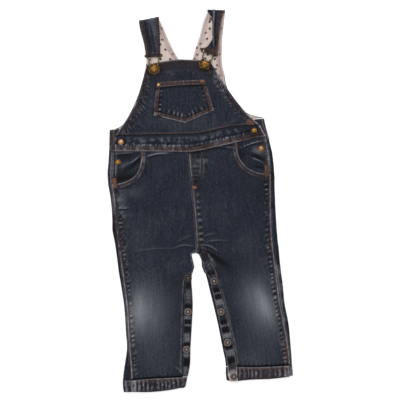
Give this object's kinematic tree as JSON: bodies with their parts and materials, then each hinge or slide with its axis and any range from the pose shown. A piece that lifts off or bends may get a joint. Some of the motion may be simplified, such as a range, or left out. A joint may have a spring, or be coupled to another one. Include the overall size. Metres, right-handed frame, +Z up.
{
  "type": "baby dungarees",
  "caption": "Baby's denim bib dungarees laid flat and face up, straps folded over and buckled to the bib, with snaps down the inner legs.",
  "frame": {"origin": "on the surface it lies on, under the middle of the laid-out garment", "axes": "+Y from the hems up to the straps, +X to the right as seen from above, +Z up out of the front"},
  "size_m": [0.2777, 0.5742, 0.0107],
  "materials": {
    "denim": "dark stretch denim, faded at the knees and seams, brown topstitching",
    "printed_cotton": "pale pink cotton with small dark sprigs and dots",
    "brass": "worn brass caps",
    "antique_bronze": "antique bronze wire and sockets"
  },
  "bodies": {
    "root": {"back_left": "denim", "back_right": "denim", "placket_back_left": "denim", "placket_back_right": "denim", "hem_back_left": "denim", "hem_back_right": "denim", "back_waistband": "denim", "back_bodice": "denim", "back_facing": "printed_cotton", "strap_left": "denim", "strap_right": "denim", "strap_facing_left": "printed_cotton", "strap_facing_right": "printed_cotton", "hip_left": "denim", "hip_right": "denim", "front_left": "denim", "front_right": "denim", "hem_front_left": "denim", "hem_front_right": "denim", "placket_front_left": "denim", "placket_front_right": "denim", "front_waistband": "denim", "front_bib": "denim", "bib_pocket": "denim", "bib_pocket_hem": "denim", "buckle_left": "antique_bronze", "buckle_right": "antique_bronze", "bib_button_left": "brass", "bib_button_right": "brass", "side_snap_1": "brass", "side_snap_2": "brass", "side_snap_3": "brass", "side_snap_4": "brass", "leg_snap_left_1": "antique_bronze", "leg_snap_left_2": "antique_bronze", "leg_snap_left_3": "antique_bronze", "leg_snap_right_1": "antique_bronze", "leg_snap_right_2": "antique_bronze", "leg_snap_right_3": "antique_bronze", "leg_snap_right_4": "antique_bronze", "pocket_rivet": "brass"}
  },
  "joints": []
}
